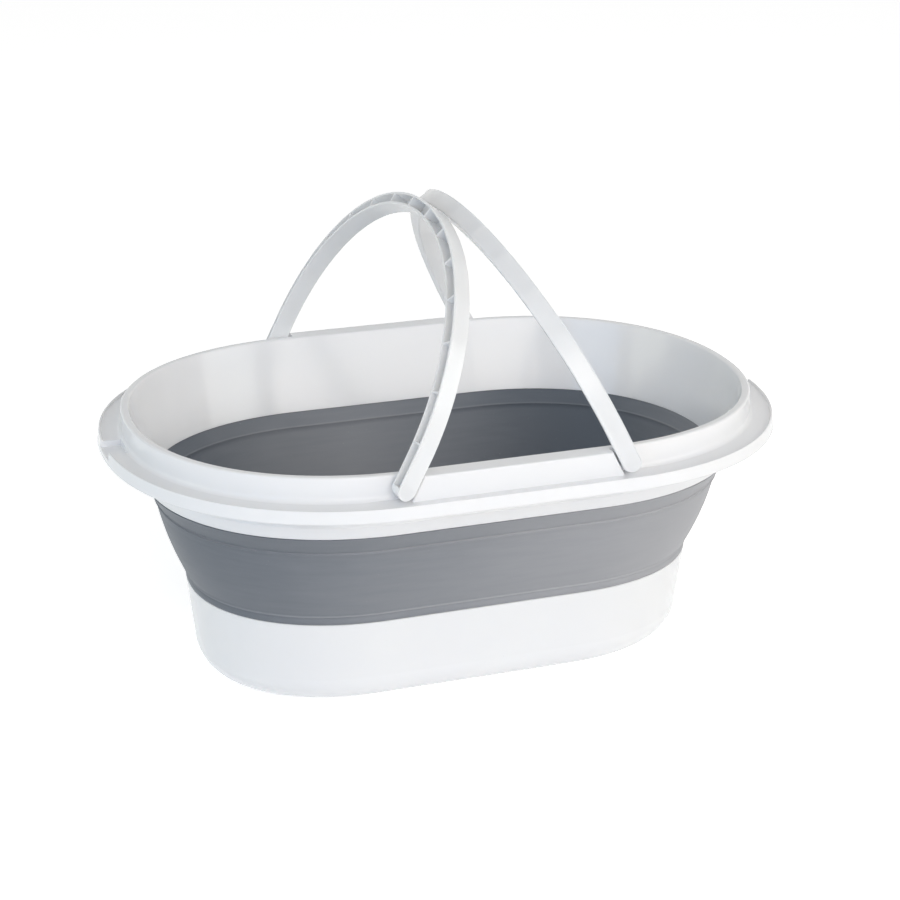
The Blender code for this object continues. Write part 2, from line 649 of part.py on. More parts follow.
def add_studs(handle):
    """A round stud on the inner face of each foot, on the pivot axis."""
    start_y = HANDLE_INNER_HALF_WIDTH + HANDLE_FLANGE
    end_y = HANDLE_INNER_HALF_WIDTH - STUD_LENGTH
    for side, name in ((-1, "front"), (1, "back")):
        stud = cross_drum(f"{handle.name}_{name}_stud", STUD_RADIUS, side * start_y, side * end_y)
        combine(handle, helper(stud.name, stud, parent=handle), "UNION")


def hollow_strap(handle):
    """Pockets from the side away from the other handle, which leave a web, two flanges and cross ribs."""
    stations = pocket_stations()
    length = stations[-1][0]
    pockets = round(length / HANDLE_RIB_PITCH)
    ribs = [length * rib / pockets for rib in range(1, pockets)]
    starts = [0] + [place + HANDLE_RIB / 2 for place in ribs]
    ends = [place - HANDLE_RIB / 2 for place in ribs] + [length]
    bm = bmesh.new()
    for start, end in zip(starts, ends):
        inside = [station for station in stations if start < station[0] < end]
        add_sweep(bm, [station_at(stations, start), *inside, station_at(stations, end)])
    mesh = finish_mesh(f"{handle.name}_pockets", bm)
    combine(handle, helper(mesh.name, mesh, parent=handle), "DIFFERENCE")


def make_handle(name, material, parent, turn):
    """A handle with its origin on its pivot axis, leaning in to meet the other one over the middle."""
    handle = new_object(name, strap_hull(), material, parent)
    handle.location = (-cos(turn) * PIVOT_HALF_SPACING, 0, PIVOT_Z)
    handle.rotation_euler = (0, handle_lean(), turn)
    add_studs(handle)
    hollow_strap(handle)


def slide_empty(name):
    """A parent on the upright axis that the rim and the fold panel slide along."""
    empty = bpy.data.objects.new(name, None)
    bpy.context.scene.collection.objects.link(empty)
    return empty


def build():
    clear_scene()
    rim_plastic = plastic("rim_plastic", (0.86, 0.86, 0.85), 0.22)
    handle_plastic = plastic("handle_plastic", (0.84, 0.85, 0.85), 0.28)
    tub_plastic = plastic("tub_plastic", (0.85, 0.85, 0.85), 0.25)
    sleeve_rubber = plastic("sleeve_rubber", (0.2, 0.21, 0.225), 0.5)
    make_tub(tub_plastic)
    make_lower_band(sleeve_rubber)
    make_fold_panel(sleeve_rubber, slide_empty("fold_slide"))
    rim_slide = slide_empty("rim_slide")
    make_rim(rim_plastic, rim_slide)
    make_upper_band(sleeve_rubber, rim_slide)
    make_handle("left_handle", handle_plastic, rim_slide, 0)
    make_handle("right_handle", handle_plastic, rim_slide, pi)
    bpy.context.view_layer.update()


build()
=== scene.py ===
from math import asin, atan2, cos, hypot, pi, radians, sin, tan

import bmesh
import bpy
from mathutils import Matrix, Vector


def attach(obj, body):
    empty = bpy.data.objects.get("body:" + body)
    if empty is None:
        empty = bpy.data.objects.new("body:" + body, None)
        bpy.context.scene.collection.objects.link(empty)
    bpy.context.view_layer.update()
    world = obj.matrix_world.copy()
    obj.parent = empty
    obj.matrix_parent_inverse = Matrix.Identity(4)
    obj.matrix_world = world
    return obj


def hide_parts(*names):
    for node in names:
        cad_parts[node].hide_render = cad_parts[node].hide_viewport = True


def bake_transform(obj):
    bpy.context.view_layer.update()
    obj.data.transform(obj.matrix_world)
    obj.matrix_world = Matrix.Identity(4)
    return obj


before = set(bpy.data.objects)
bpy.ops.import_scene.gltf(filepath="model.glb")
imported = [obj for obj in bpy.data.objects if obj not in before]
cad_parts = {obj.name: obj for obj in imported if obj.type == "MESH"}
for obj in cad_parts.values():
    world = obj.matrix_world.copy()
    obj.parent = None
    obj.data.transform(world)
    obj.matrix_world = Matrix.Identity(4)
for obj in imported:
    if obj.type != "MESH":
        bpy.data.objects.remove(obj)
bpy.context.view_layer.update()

# Plan outline: straight long sides and rounded ends, in metres
STRAIGHT = 0.0645
FULLNESS = 2.15
QUARTER_STEPS = 44

# Shared by the pieces
SEAM = 0.0002
SOFT_EDGE = 0.0003
OVERRUN = 0.001
SHARP_ANGLE = 0.52
SLEEVE_SHARP_ANGLE = 1.2
FLAT_FACE_WEIGHT = 80
DRUM_STEPS = 48
BEVEL_STEPS = 4

# Outlines as (half length, half width), and heights
FLANGE = (0.225, 0.163)
COLLAR = (0.2096, 0.1438)
COLLAR_FOOT = (0.21, 0.1442)
RIM_INSIDE_TOP = (0.2041, 0.1383)
RIM_INSIDE_BOTTOM = (0.1926, 0.1225)
UPPER_HINGE = (0.1907, 0.1194)
LOWER_HINGE = (0.1729, 0.096)
TUB_BOTTOM = (0.1664, 0.083)
TUB_TOP_Z = 0.0621
TUB_TONGUE = 0.003
LOWER_HINGE_Z = 0.0673
UPPER_HINGE_Z = 0.1207
RIM_BOTTOM_Z = 0.1299
TONGUE_TOP_Z = 0.1339
SKIRT_Z = 0.1573
LEDGE_Z = 0.1643
RIM_TOP_Z = 0.1798
WALL = 0.0024
JOINT_WALL = 0.0046
COVER = 0.0018
SLEEVE_WALL = 0.0026

# Rim, with the chamfer of its tongue as (width, height)
EDGE_RADIUS = 0.0015
LEDGE_FILLET = 0.0032
SKIRT_DRAFT = 0.0006
SKIRT_EDGE = 0.0005
SKIRT_STEP = 0.0001
LIP_HEIGHT = 0.0013
LIP_RADIUS = 0.00065
LIP_SETBACK = 0.0004
LIP_FOOT = 0.002
JOINT_BAND_HEIGHT = 0.0115
JOINT_BLEND_HEIGHT = 0.003
COLLAR_HOLLOW_DEPTH = 0.007
TONGUE_CHAMFER = (0.0003, 0.0004)
BLOCK_ROOT = 0.00275
BLOCK_EDGE_RADIUS = 0.0012
SOCKET_RADIUS = 0.0033
SOCKET_DEPTH = 0.0049
POCKET_HEIGHT = 0.00775
NOTCH_HALF_WIDTH = 0.013
NOTCH_DEPTH = 0.0038
NOTCH_SETBACK = 0.001
NOTCH_CUT_HEIGHT = 0.008
RIB_HALF_THICKNESS = 0.0008
RIB_WALL_HEIGHT = 0.012
RIB_SKIRT_SETBACK = 0.001
RIB_ANGLE_SHARES = (0.2, 0.4, 0.6, 0.8)

# Tub
TUB_RADIUS = 0.0205
FOOT_RING_WIDTH = 0.008
FOOT_RECESS = 0.002
RECESS_BORDER = 0.02
TUB_BAND_HEIGHT = 0.003
TUB_BLEND_STEP = 0.0015
TUB_BLEND_WALL = 0.0035
TUB_INSIDE_Z = 0.04

# Sleeve, with the flare of its foot as (inwards, down)
PANEL_BULGE = 0.0022
PANEL_STEPS = 26
FOOT_FLARE = (0.0004, 0.0013)

# Beads along the sleeve's hinges, as (inwards, up) from the hinge line
LOWER_BEAD = (
    (0.0, -0.0013), (0.0001, -0.0009), (0.0003, -0.0005), (0.0001, -0.0001), (-0.0006, 0.0003),
    (-0.001, 0.0007), (-0.001, 0.001), (-0.0007, 0.0014), (-0.0009, 0.002),
)
UPPER_BEAD = (
    (-0.0001, -0.002), (-0.0001, -0.0013), (-0.0007, -0.0009), (-0.0009, -0.0005), (-0.0006, -0.0001),
    (0.0001, 0.0003), (0.0001, 0.0006),
)
INNER_BEAD = (
    (-0.0001, 0.0011), (0.0, 0.0009), (0.0005, 0.0004), (0.0006, -0.0001), (0.0004, -0.0006), (0.0, -0.0011),
)
# Heights of the painted highlights along the hinge beads, where their tops would catch the light, and how far
# each reaches
BEAD_HIGHLIGHT_LINES = ((LOWER_HINGE_Z + 0.001, 0.0009), (UPPER_HINGE_Z + 0.0002, 0.0008))

# Handles
STRAP_WIDTH = 0.0124
STRAP_DEPTH = 0.009
STRAP_SLANT = 0.0019
STRAP_SLOPE = STRAP_SLANT / STRAP_WIDTH
STRAP_INNER_SPAN = 0.1448
STRAP_HALF_SPAN = STRAP_INNER_SPAN + STRAP_SLANT + STRAP_DEPTH
STRAP_REACH = 0.1496
STRAP_STRAIGHT = 0.0185
STRAP_FULLNESS = 2.04
STRAP_STEPS = 72
STRAP_OPEN_RADIUS = 0.0005
STRAP_WEB_RADIUS = 0.0011
STRAP_WEB = 0.0022
STRAP_FLANGE = 0.0015
STRAP_RIB = 0.0013
STRAP_RIB_PITCH = 0.0325
STRAP_CLEARANCE = 0.0006
BLOCK_SETBACK = 0.0014
BLOCK_HALF_SPAN = STRAP_INNER_SPAN + STRAP_DEPTH - BLOCK_SETBACK
BLOCK_END_GAP = 0.0007
REST_GAP = 0.0003
PIVOT_X = 0.0724
PIVOT_Z = LEDGE_Z + STRAP_WIDTH / 2 + STRAP_SLOPE * STRAP_DEPTH + REST_GAP
STUD_RADIUS = 0.003
STUD_LENGTH = 0.0046
BOSS_RADIUS = 0.0059
FOOT_END_TURN = 1.5
FOOT_STEPS = 14

# Painted light on the rubber as (centre, reach, strength): paler at the right front and back left, painted shade
# at the right back
PAINTED_LIGHT_PATCHES = (
    ((0.15, -0.08, 0.095), 0.36, 1.0),
    ((0.14, 0.09, 0.095), 0.17, -0.6),
    ((-0.03, 0.1, 0.095), 0.13, 0.3),
)
# How much the painted highlight on the beads lightens the rubber
BEAD_HIGHLIGHT_STRENGTH = 0.3

# Studio: the room's strength near the horizon and overhead, the directions' heights between which it changes, how
# much the floor is lifted, and the soft lamps as (name, place, size, power, colour), all aimed at one point
HORIZON = 0.6
ZENITH = 0.38
ROOM_CHANGE = (0.1, 0.8)
FLOOR_LIFT = 0.56
FLOOR_HALF_SIZE = 6
FLOOR_GAP = 0.0002
LAMP_TARGET = (0, 0, 0.12)
LAMPS = (
    ("key", (1.6, -1.4, 0.8), (1.3, 1.1), 10.0, (0.97, 1.0, 0.98)),
    ("front", (0.1, -2.15, 0.95), (1.6, 1.1), 19, (1.0, 0.94, 0.88)),
    ("left_front", (-1.7, -1.1, 0.7), (1.2, 1.0), 6.2, (0.4, 0.65, 1.0)),
    ("left", (-2.2, 0.4, 0.7), (1.3, 1.1), 6.4, (0.97, 1.0, 0.8)),
)

# The photo's camera, with angles in degrees and lengths in metres
CAMERA_AZIMUTH = -19.296
CAMERA_ELEVATION = 20.352
CAMERA_DISTANCE = 1.437961
CAMERA_TARGET = (0.008194, 0, 0.134721)
LENS_MM = 85.57
SENSOR_MM = 36


def inset(outline, at_end, at_side=None):
    return outline[0] - at_end, outline[1] - (at_end if at_side is None else at_side)


def between(start, end, share):
    return tuple(a + (b - a) * share for a, b in zip(start, end))


def rim_inside(z):
    return between(RIM_INSIDE_BOTTOM, RIM_INSIDE_TOP, (z - RIM_BOTTOM_Z) / (RIM_TOP_Z - RIM_BOTTOM_Z))


def tub_outside(z):
    return between(TUB_BOTTOM, LOWER_HINGE, z / TUB_TOP_Z)


def end_curve(half_length, half_width, straight, fullness, angle):
    along = abs(cos(angle)) ** (2 / fullness)
    across = abs(sin(angle)) ** (2 / fullness)
    return straight + (half_length - straight) * along, half_width * across


def ring(outline, z):
    points = []
    for quarter in range(4):
        for step in range(QUARTER_STEPS):
            turn = step / QUARTER_STEPS * pi / 2
            angle = turn if quarter % 2 == 0 else pi / 2 - turn
            x, y = end_curve(*outline, STRAIGHT, FULLNESS, angle)
            points.append(Vector((x if quarter in (0, 3) else -x, y if quarter < 2 else -y, z)))
    return points


def arc(outline, z, radius, start, end, steps):
    levels = []
    for step in range(steps + 1):
        angle = start + (end - start) * step / steps
        levels.append((inset(outline, -radius * cos(angle)), z + radius * sin(angle)))
    return levels


def skin(bm, near, far):
    for i, corner in enumerate(near):
        j = (i + 1) % len(near)
        bm.faces.new((corner, near[j], far[j], far[i]))


def finished(name, bm):
    bmesh.ops.recalc_face_normals(bm, faces=bm.faces)
    mesh = bpy.data.meshes.new(name)
    bm.to_mesh(mesh)
    bm.free()
    obj = bpy.data.objects.new(name, mesh)
    bpy.context.scene.collection.objects.link(obj)
    return obj


def lofted(name, levels, closed=True):
    bm = bmesh.new()
    rings = [[bm.verts.new(point) for point in ring(*level)] for level in levels]
    for lower, upper in zip(rings, rings[1:]):
        skin(bm, lower, upper)
    if closed:
        skin(bm, rings[-1], rings[0])
    else:
        bm.faces.new(rings[0])
        bm.faces.new(rings[-1])
    return finished(name, bm)


def prism(name, outline, push, bevel=0.0):
    bm = bmesh.new()
    near = [bm.verts.new(point) for point in outline]
    far = [bm.verts.new(Vector(point) + Vector(push)) for point in outline]
    skin(bm, near, far)
    bm.faces.new(near)
    cap = bm.faces.new(far)
    bmesh.ops.recalc_face_normals(bm, faces=bm.faces)
    if bevel:
        edges = list(cap.edges)
        bmesh.ops.bevel(bm, geom=edges, offset=bevel, segments=BEVEL_STEPS, affect="EDGES", profile=0.5)
    return finished(name, bm)


def box_outline(low_x, high_x, low_y, high_y, z):
    return [(low_x, low_y, z), (high_x, low_y, z), (high_x, high_y, z), (low_x, high_y, z)]


def drum(name, x, z, radius, start, end):
    turns = [2 * pi * step / DRUM_STEPS for step in range(DRUM_STEPS)]
    circle = [(x + radius * cos(turn), start, z + radius * sin(turn)) for turn in turns]
    return prism(name, circle, (0, end - start, 0))


def merge(obj, others, operation):
    """Adds or cuts the helper solids, and removes them."""
    for other in others:
        modifier = obj.modifiers.new(operation, "BOOLEAN")
        modifier.operation, modifier.solver, modifier.object = operation, "EXACT", other
        bpy.context.view_layer.update()
        graph = bpy.context.evaluated_depsgraph_get()
        mesh = bpy.data.meshes.new_from_object(obj.evaluated_get(graph), depsgraph=graph)
        obj.modifiers.clear()
        obj.data = mesh
        bpy.data.objects.remove(other, do_unlink=True)


def smoothed(obj):
    """Smooth shading with the real edges kept, and normals weighted by face size."""
    obj.data.shade_smooth()
    obj.data.set_sharp_from_angle(angle=SHARP_ANGLE)
    weighted = obj.modifiers.new("weighted_normals", "WEIGHTED_NORMAL")
    weighted.keep_sharp = True
    weighted.weight = FLAT_FACE_WEIGHT


# The rim, one moulding with its ledge, collar, blocks and notches
def rim_levels():
    """Up the inside, over the collar, ledge, lip and skirt, and back underneath to the sleeve's joint."""
    lip_out = inset(FLANGE, SKIRT_DRAFT)
    edge_z = RIM_TOP_Z - EDGE_RADIUS
    lip_z = LEDGE_Z + LIP_HEIGHT - LIP_RADIUS
    skirt_z = SKIRT_Z + SKIRT_EDGE
    blend_z = TONGUE_TOP_Z + JOINT_BAND_HEIGHT
    hollow_z = LEDGE_Z + COLLAR_HOLLOW_DEPTH
    levels = [(RIM_INSIDE_BOTTOM, RIM_BOTTOM_Z)]
    for share in (0.25, 0.5, 0.75):
        z = RIM_BOTTOM_Z + share * (RIM_TOP_Z - RIM_BOTTOM_Z)
        levels.append((between(RIM_INSIDE_BOTTOM, RIM_INSIDE_TOP, share), z))
    levels += arc(inset(RIM_INSIDE_TOP, -EDGE_RADIUS), edge_z, EDGE_RADIUS, pi, pi / 2, 6)
    levels += arc(inset(COLLAR, EDGE_RADIUS), edge_z, EDGE_RADIUS, pi / 2, 0, 6)
    levels += arc(inset(COLLAR_FOOT, -LEDGE_FILLET), LEDGE_Z + LEDGE_FILLET, LEDGE_FILLET, pi, 3 * pi / 2, 8)
    levels.append((inset(lip_out, LIP_FOOT), LEDGE_Z))
    levels += arc(inset(lip_out, LIP_RADIUS + LIP_SETBACK), lip_z, LIP_RADIUS, pi, 0, 8)
    levels.append((inset(FLANGE, SKIRT_STEP), skirt_z))
    levels += arc(inset(FLANGE, SKIRT_EDGE), skirt_z, SKIRT_EDGE, 0, -pi / 2, 3)
    levels += arc(inset(FLANGE, WALL - SKIRT_EDGE), skirt_z, SKIRT_EDGE, -pi / 2, -pi, 3)
    levels.append((inset(lip_out, WALL), LEDGE_Z - WALL))
    levels.append((inset(COLLAR_FOOT, WALL), LEDGE_Z - WALL))
    levels.append((inset(COLLAR, WALL), hollow_z))
    levels.append((inset(rim_inside(hollow_z), -WALL), hollow_z))
    levels.append((inset(rim_inside(blend_z), -WALL), blend_z))
    half_z = blend_z - JOINT_BLEND_HEIGHT / 2
    levels.append((inset(rim_inside(half_z), -(WALL + JOINT_WALL) / 2), half_z))
    band_z = blend_z - JOINT_BLEND_HEIGHT
    levels.append((inset(rim_inside(band_z), -JOINT_WALL), band_z))
    chamfer_width, chamfer_height = TONGUE_CHAMFER
    chamfer_z = TONGUE_TOP_Z + chamfer_height
    levels.append((inset(rim_inside(chamfer_z), -JOINT_WALL), chamfer_z))
    levels.append((inset(rim_inside(TONGUE_TOP_Z), chamfer_width - JOINT_WALL), TONGUE_TOP_Z))
    levels.append((inset(rim_inside(TONGUE_TOP_Z), COVER - JOINT_WALL), TONGUE_TOP_Z))
    levels.append((inset(RIM_INSIDE_BOTTOM, COVER - JOINT_WALL), RIM_BOTTOM_Z))
    return levels


def handle_lean():
    half = STRAP_WIDTH / 2
    crown = STRAP_REACH - STRAP_SLANT
    return asin((PIVOT_X - REST_GAP / 2) / hypot(crown, half)) - atan2(half, crown)


def block_face(wall, bottom_z):
    lean = handle_lean()
    stand_off = STRAP_WIDTH / 2 + BLOCK_END_GAP + wall
    top_z = RIM_TOP_Z - wall
    bottom_x, top_x = (PIVOT_X - stand_off / cos(lean) - (z - PIVOT_Z) * tan(lean) for z in (bottom_z, top_z))
    return [(-bottom_x, bottom_z), (bottom_x, bottom_z), (top_x, top_z), (-top_x, top_z)]


def rim_blocks():
    inner_y = COLLAR[1] - BLOCK_ROOT
    cavity_y = RIM_INSIDE_TOP[1] + WALL
    for side in (-1, 1):
        face = [(x, side * inner_y, z) for x, z in block_face(0, LEDGE_Z - WALL / 2)]
        yield prism("block", face, (0, side * (BLOCK_HALF_SPAN - inner_y), 0), BLOCK_EDGE_RADIUS), "UNION"
        face = [(x, side * cavity_y, z) for x, z in block_face(WALL, SKIRT_Z)]
        yield prism("cavity", face, (0, side * (BLOCK_HALF_SPAN - WALL - cavity_y), 0)), "DIFFERENCE"


def rim_sockets():
    face_y = STRAP_INNER_SPAN - STRAP_CLEARANCE
    for x_side in (-1, 1):
        for y_side in (-1, 1):
            x = x_side * PIVOT_X
            start = y_side * (rim_inside(PIVOT_Z + BOSS_RADIUS)[1] + WALL / 2)
            yield drum("boss", x, PIVOT_Z, BOSS_RADIUS, start, y_side * (face_y - WALL / 2)), "UNION"
            start, end = y_side * (STRAP_INNER_SPAN - SOCKET_DEPTH), y_side * (face_y + 2 * OVERRUN)
            yield drum("socket", x, PIVOT_Z, SOCKET_RADIUS, start, end), "DIFFERENCE"


def foot_pockets():
    face_y = STRAP_INNER_SPAN - STRAP_CLEARANCE
    near_x, far_x = PIVOT_X - STRAP_WIDTH, PIVOT_X + STRAP_STRAIGHT + STRAP_WIDTH / 2
    for x_side in (-1, 1):
        for y_side in (-1, 1):
            near_y, far_y = y_side * face_y, y_side * STRAP_HALF_SPAN
            outline = box_outline(x_side * near_x, x_side * far_x, near_y, far_y, LEDGE_Z)
            yield prism("pocket", outline, (0, 0, POCKET_HEIGHT)), "DIFFERENCE"


def finger_notches():
    start_x, end_x = COLLAR_FOOT[0] + NOTCH_SETBACK, FLANGE[0] + OVERRUN
    tray_start, tray_end = start_x - WALL, FLANGE[0] - WALL / 2
    tray_y = NOTCH_HALF_WIDTH + WALL
    floor_z = LEDGE_Z - NOTCH_DEPTH
    for side in (-1, 1):
        outline = box_outline(side * tray_start, side * tray_end, -tray_y, tray_y, floor_z - WALL)
        yield prism("tray", outline, (0, 0, NOTCH_DEPTH + WALL / 2)), "UNION"
        outline = box_outline(side * start_x, side * end_x, -NOTCH_HALF_WIDTH, NOTCH_HALF_WIDTH, floor_z)
        yield prism("notch", outline, (0, 0, NOTCH_CUT_HEIGHT)), "DIFFERENCE"


def flange_ribs():
    top_z = LEDGE_Z - WALL / 2
    skirt = inset(FLANGE, WALL / 2)
    wall_z = LEDGE_Z - RIB_WALL_HEIGHT
    for x_side in (-1, 1):
        for y_side in (-1, 1):
            for share in RIB_ANGLE_SHARES:
                profile = []
                for outline, z in (
                    (inset(rim_inside(top_z), -WALL / 2), top_z),
                    (skirt, top_z),
                    (skirt, SKIRT_Z + RIB_SKIRT_SETBACK),
                    (inset(rim_inside(wall_z), -WALL / 2), wall_z),
                ):
                    x, y = end_curve(*outline, STRAIGHT, FULLNESS, share * pi / 2)
                    profile.append(Vector((x_side * x, y_side * y, z)))
                along = (profile[1] - profile[0]).normalized()
                half_rib = along.cross(Vector((0, 0, 1))) * RIB_HALF_THICKNESS
                yield prism("rib", [point - half_rib for point in profile], half_rib * 2), "UNION"


def make_rim(material):
    rim = lofted("rim_moulding", rim_levels())
    for parts in (foot_pockets(), rim_blocks(), rim_sockets(), finger_notches(), flange_ribs()):
        for solid, operation in parts:
            merge(rim, [solid], operation)
    rim.data.materials.clear()
    rim.data.materials.append(material)
    smoothed(rim)
    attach(rim, "rim")
    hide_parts("rim_frame")


# The tub
def tub_levels():
    """From the recess underneath, over the foot ring and up the outside, over the tongue, and down the inside."""
    radius = TUB_RADIUS
    centre = inset(tub_outside(radius), radius)
    ring_inside = inset(centre, FOOT_RING_WIDTH)
    recess = inset(ring_inside, FOOT_RECESS)
    recess_middle = inset(recess, RECESS_BORDER)
    levels = [(recess_middle, FOOT_RECESS), (recess, FOOT_RECESS), (ring_inside, 0.0)]
    levels += arc(centre, radius, radius, -pi / 2, 0, 18)
    for share in (0.3, 0.6, 0.9):
        z = radius + (TUB_TOP_Z - radius) * share
        levels.append((tub_outside(z), z))
    levels += [(LOWER_HINGE, TUB_TOP_Z - SOFT_EDGE), (inset(LOWER_HINGE, SOFT_EDGE), TUB_TOP_Z)]
    tongue_z = TUB_TOP_Z + TUB_TONGUE
    levels += [(inset(LOWER_HINGE, COVER), TUB_TOP_Z), (inset(LOWER_HINGE, COVER), tongue_z)]
    levels.append((inset(LOWER_HINGE, JOINT_WALL), tongue_z))
    blend_z = TUB_TOP_Z - TUB_BAND_HEIGHT
    for step, wall in enumerate((JOINT_WALL, TUB_BLEND_WALL, WALL)):
        z = blend_z - step * TUB_BLEND_STEP
        levels.append((inset(tub_outside(z), wall), z))
    levels.append((inset(tub_outside(TUB_INSIDE_Z), WALL), TUB_INSIDE_Z))
    levels += arc(centre, radius, radius - WALL, 0, -pi / 2, 16)
    floor_z = WALL + FOOT_RECESS
    levels += [(ring_inside, WALL), (recess, floor_z), (recess_middle, floor_z)]
    return levels


def make_tub(material):
    tub = lofted("tub_moulding", tub_levels(), closed=False)
    tub.data.materials.append(material)
    smoothed(tub)
    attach(tub, "base")
    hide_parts("base_tub")


# The sleeve, one rubber moulding
def panel_outline(share):
    crown = 4 * PANEL_BULGE * share * (1 - share)
    return inset(between(LOWER_HINGE, UPPER_HINGE, share), -crown)


def panel_z(share):
    return LOWER_HINGE_Z + (UPPER_HINGE_Z - LOWER_HINGE_Z) * share


def beaded(outline, z, bead):
    return [(inset(outline, inwards), z + up) for inwards, up in bead]


def outer_sleeve_levels():
    """Up the outside from the tub's joint to the top of the rim's tongue."""
    bottom_z, top_z = TUB_TOP_Z + SEAM, TONGUE_TOP_Z - SEAM
    outside_top = inset(rim_inside(TONGUE_TOP_Z), -JOINT_WALL)
    levels = [(inset(LOWER_HINGE, SOFT_EDGE), bottom_z), (LOWER_HINGE, bottom_z + SOFT_EDGE)]
    levels += beaded(LOWER_HINGE, LOWER_HINGE_Z, LOWER_BEAD)
    for step in range(2, PANEL_STEPS - 1):
        share = step / PANEL_STEPS
        levels.append((panel_outline(share), panel_z(share)))
    levels += beaded(UPPER_HINGE, UPPER_HINGE_Z, UPPER_BEAD)
    for share in (0.07, 0.12, 0.35, 0.65):
        z = UPPER_HINGE_Z + (TONGUE_TOP_Z - UPPER_HINGE_Z) * share
        levels.append((between(UPPER_HINGE, outside_top, share), z))
    levels += [(outside_top, top_z - SOFT_EDGE), (inset(outside_top, SOFT_EDGE), top_z)]
    return levels


def inner_sleeve_levels():
    """Round the rim's tongue, down the inside, and round the tub's tongue."""
    cover = COVER - JOINT_WALL - SEAM
    top_z, end_z = TONGUE_TOP_Z - SEAM, RIM_BOTTOM_Z - SEAM
    levels = [(inset(rim_inside(TONGUE_TOP_Z), cover), top_z), (inset(RIM_INSIDE_BOTTOM, cover), end_z)]
    levels += [(inset(RIM_INSIDE_BOTTOM, -SOFT_EDGE), end_z), (RIM_INSIDE_BOTTOM, end_z - SOFT_EDGE)]
    inner_upper = inset(UPPER_HINGE, SLEEVE_WALL)
    for share in (0.4, 0.75):
        z = RIM_BOTTOM_Z + (UPPER_HINGE_Z - RIM_BOTTOM_Z) * share
        levels.append((between(RIM_INSIDE_BOTTOM, inner_upper, share), z))
    levels += beaded(inner_upper, UPPER_HINGE_Z, INNER_BEAD)
    for step in range(PANEL_STEPS - 2, 1, -1):
        share = step / PANEL_STEPS
        levels.append((inset(panel_outline(share), SLEEVE_WALL), panel_z(share)))
    levels += beaded(inset(LOWER_HINGE, SLEEVE_WALL), LOWER_HINGE_Z, INNER_BEAD)
    flare_width, flare_drop = FOOT_FLARE
    levels.append((inset(LOWER_HINGE, SLEEVE_WALL + flare_width), LOWER_HINGE_Z - flare_drop))
    foot_z = TUB_TOP_Z + TUB_TONGUE + SEAM
    levels.append((inset(LOWER_HINGE, JOINT_WALL - SOFT_EDGE), foot_z + SOFT_EDGE))
    levels.append((inset(LOWER_HINGE, JOINT_WALL - 2 * SOFT_EDGE), foot_z))
    levels += [(inset(LOWER_HINGE, COVER - SEAM), z) for z in (foot_z, TUB_TOP_Z + SEAM)]
    return levels


def make_sleeve(material):
    sleeve = lofted("sleeve_moulding", outer_sleeve_levels() + inner_sleeve_levels())
    sleeve.data.materials.append(material)
    # Painted highlight: a mask along the hinge beads, where the rubber is drawn paler
    bead_highlight_weights = sleeve.data.attributes.new("bead", "FLOAT", "POINT")
    for vertex, entry in zip(sleeve.data.vertices, bead_highlight_weights.data):
        entry.value = max(max(0, 1 - abs(vertex.co.z - z) / reach) for z, reach in BEAD_HIGHLIGHT_LINES)
    sleeve.data.shade_smooth()
    sleeve.data.set_sharp_from_angle(angle=SLEEVE_SHARP_ANGLE)
    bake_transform(sleeve)
    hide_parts("sleeve_upper_band", "sleeve_fold_panel", "sleeve_lower_band")


# The handles
def strap_path(heights):
    rising = [(-STRAP_HALF_SPAN, up) for up in heights]
    for step in range(STRAP_STEPS + 1):
        angle = (1 - step / STRAP_STEPS) * pi / 2
        up, across = end_curve(STRAP_REACH, STRAP_HALF_SPAN, STRAP_STRAIGHT, STRAP_FULLNESS, angle)
        rising.append((-across, up))
    falling = [(-across, up) for across, up in reversed(rising[:-1])]
    return [Vector((0, across, up)) for across, up in rising + falling]


def stations_of(path, sections):
    stations = []
    distance = 0
    for i, (point, section) in enumerate(zip(path, sections)):
        before = path[max(i - 1, 0)]
        ahead = path[min(i + 1, len(path) - 1)] - before
        distance += (point - before).length
        stations.append((distance, point, Vector((0, ahead.z, -ahead.y)).normalized(), section))
    return stations


def station_at(stations, distance):
    for near, far in zip(stations, stations[1:]):
        if distance <= far[0]:
            share = (distance - near[0]) / (far[0] - near[0])
            return distance, near[1].lerp(far[1], share), near[2].lerp(far[2], share), near[3]


def add_sweep(bm, stations):
    rings = []
    for _, point, inward, section in stations:
        places = [point + inward * depth + Vector((across, 0, 0)) for depth, across in section]
        rings.append([bm.verts.new(place) for place in places])
    for near, far in zip(rings, rings[1:]):
        skin(bm, near, far)
    bm.faces.new(rings[0])
    bm.faces.new(rings[-1])


def both_feet(foot, middle, count):
    return foot + [middle] * (count - 2 * len(foot)) + foot[::-1]


def foot_turns():
    return [FOOT_END_TURN * (1 - step / FOOT_STEPS) for step in range(FOOT_STEPS + 1)]


def strap_section():
    """Rounded well on the web side and a little on the open side."""
    half = STRAP_WIDTH / 2
    corners = (
        (0, -1, STRAP_OPEN_RADIUS, -pi),
        (0, 1, STRAP_WEB_RADIUS, pi),
        (1, 1, STRAP_WEB_RADIUS, pi / 2),
        (1, -1, STRAP_OPEN_RADIUS, 0),
    )
    section = []
    for far, side, radius, start in corners:
        depth = STRAP_DEPTH - radius if far else radius
        for step in range(5):
            angle = start - step * pi / 8
            section.append((depth + radius * cos(angle), side * (half - radius) + radius * sin(angle)))
    return section


def slanted(section, share=1):
    """The section turned a little, and as narrow as the given share."""
    edge = -STRAP_WIDTH / 2
    return [
        (depth + STRAP_SLOPE * (across * share - edge), (across - STRAP_SLOPE * depth) * share)
        for depth, across in section
    ]


